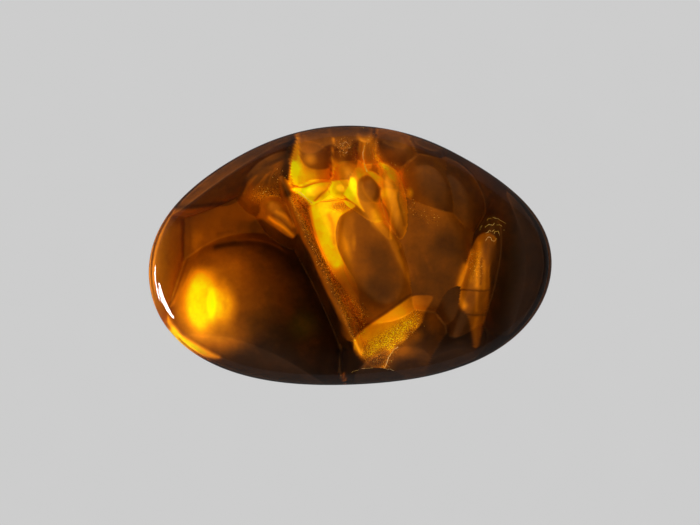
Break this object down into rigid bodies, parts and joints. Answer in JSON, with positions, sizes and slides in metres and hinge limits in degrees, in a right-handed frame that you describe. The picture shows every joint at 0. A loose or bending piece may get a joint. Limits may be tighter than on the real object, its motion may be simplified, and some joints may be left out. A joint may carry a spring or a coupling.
{
  "type": "fire agate cabochon",
  "caption": "Domed oval cabochon of polished fire agate: clear chalcedony over golden brown bubbly fire layer, flat back to rest on or set in a bezel.",
  "frame": {"origin": "on the flat back, under the middle of the stone's box", "axes": "+X along the stone's length, +Y across it, +Z out of the dome, away from the flat back"},
  "size_m": [0.025, 0.0161, 0.008],
  "materials": {
    "fire_layer": "golden brown iridescent bubbles on dark brown chalcedony, polished outside",
    "clear_chalcedony": "clear amber-tinted chalcedony, high polish"
  },
  "bodies": {
    "root": {"fire_layer_base": "fire_layer", "clear_cap": "clear_chalcedony"}
  },
  "joints": []
}
